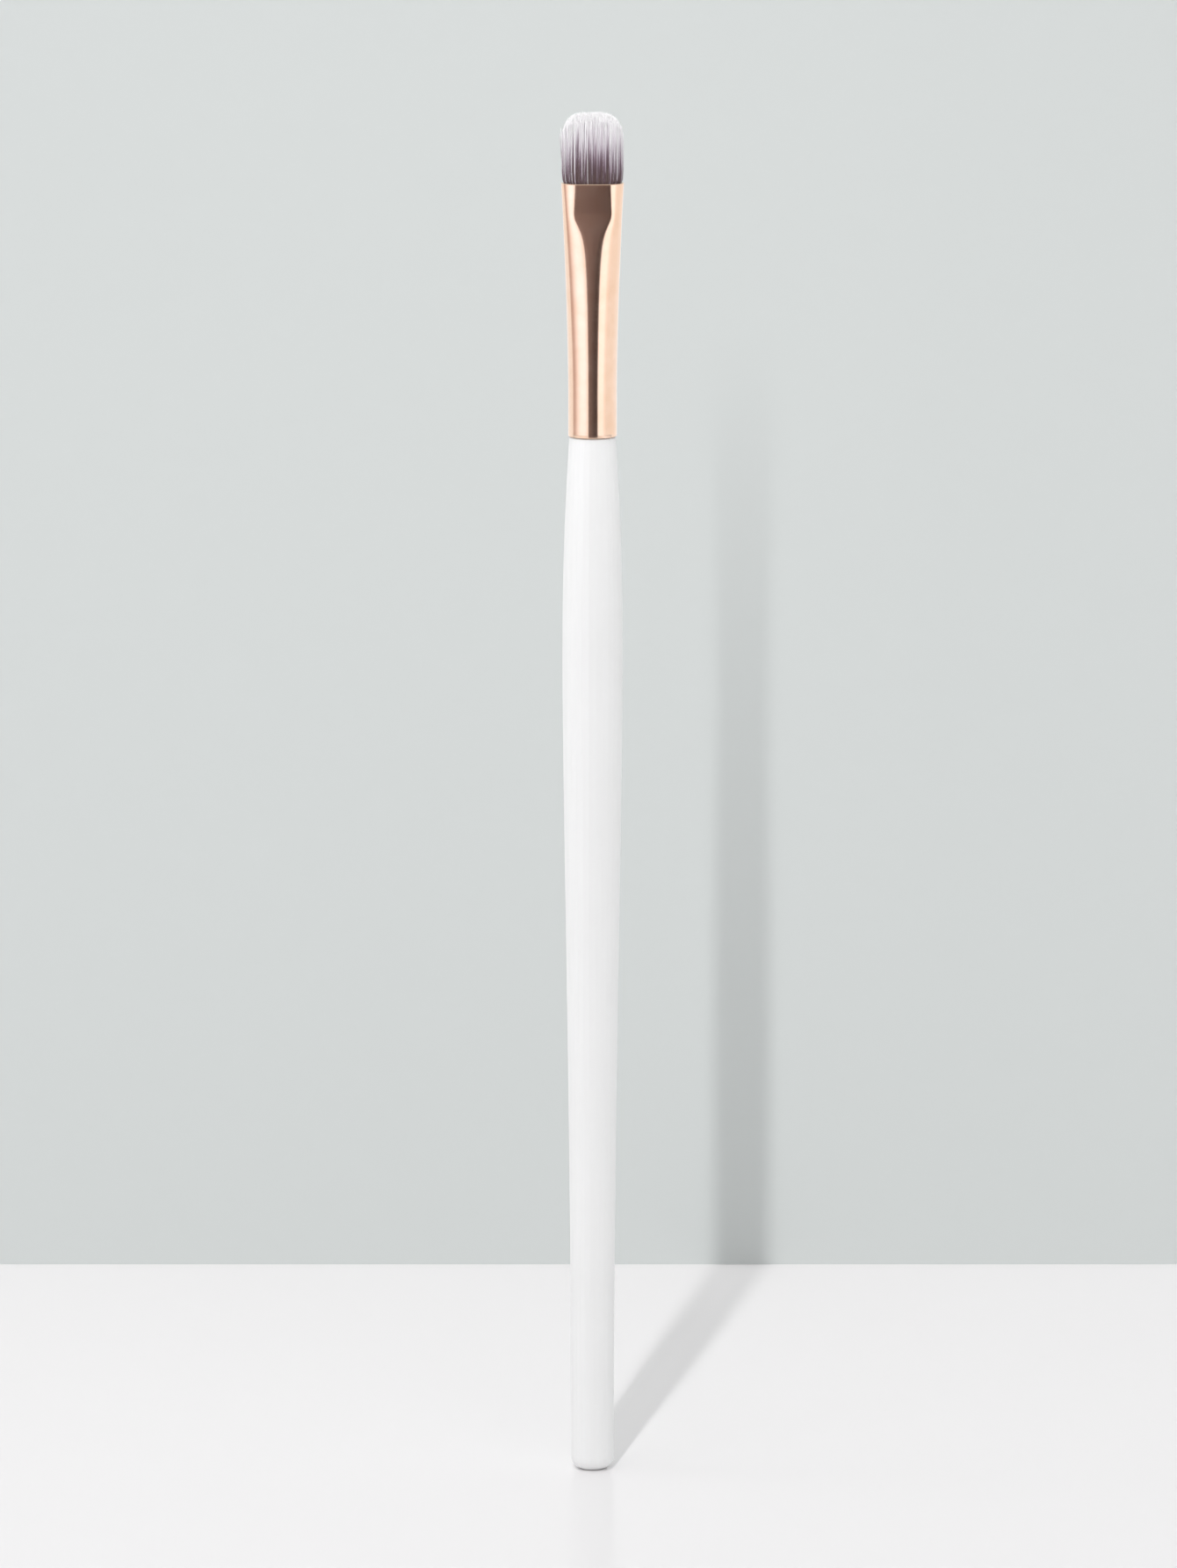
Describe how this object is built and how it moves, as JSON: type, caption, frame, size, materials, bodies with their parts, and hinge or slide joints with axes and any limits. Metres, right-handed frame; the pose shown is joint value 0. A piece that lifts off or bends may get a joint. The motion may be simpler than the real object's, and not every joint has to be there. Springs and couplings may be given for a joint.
{
  "type": "concealer brush",
  "caption": "Slim cosmetic brush with a turned wooden handle, a pressed metal ferrule and a short flat tuft with round corners, for blending concealer.",
  "frame": {"origin": "centre of the flat foot on the butt's end, the lowest point of the upright brush", "axes": "+Z along the brush from butt to tuft; the pressed flats of the ferrule face -Y and +Y, so +X runs across the tuft's width"},
  "size_m": [0.0078, 0.0076, 0.172],
  "materials": {
    "lacquered_wood": "white satin lacquer over turned hardwood",
    "rose_gold_metal": "polished rose-gold anodised tube",
    "set_glue": "set wood glue",
    "filament": "tapered synthetic filaments, dark brown roots fading to lavender-white tips",
    "thread": "twisted binding thread",
    "clear_resin": "set casting resin"
  },
  "bodies": {
    "root": {"handle": "lacquered_wood", "ferrule": "rose_gold_metal", "tenon_adhesive": "set_glue", "bristle_tuft": "filament", "binding_thread": "thread", "head_resin": "clear_resin"}
  },
  "joints": []
}
